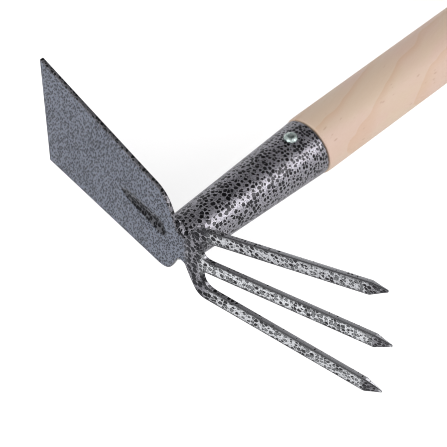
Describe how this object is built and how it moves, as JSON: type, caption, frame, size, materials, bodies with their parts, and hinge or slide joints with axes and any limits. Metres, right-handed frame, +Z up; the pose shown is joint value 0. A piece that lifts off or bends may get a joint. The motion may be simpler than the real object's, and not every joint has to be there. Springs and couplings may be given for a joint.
{
  "type": "hand cultivator",
  "caption": "Hand cultivator with a flat hoe blade and a tined fork on one steel head, riveted by a conical socket to a round wooden handle.",
  "frame": {"origin": "centre of the bounding box at its base, on the surface that the tool lies on", "axes": "+X along the handle from the head to the butt, +Y towards the hoe blade, +Z up as the tool lies on its side on a blade corner, an outer tine and the butt"},
  "size_m": [0.4034, 0.223, 0.0761],
  "materials": {
    "hammered_enamel": "glossy grey hammered enamel with dark speckles",
    "handle_wood": "fine-sanded pale beech, unvarnished",
    "zinc_steel": "bright zinc plating"
  },
  "bodies": {
    "root": {"hoe_and_fork_head": "hammered_enamel", "socket": "hammered_enamel", "socket_seam_weld": "hammered_enamel", "neck_weld": "hammered_enamel", "handle": "handle_wood", "rivet": "zinc_steel"}
  },
  "joints": []
}
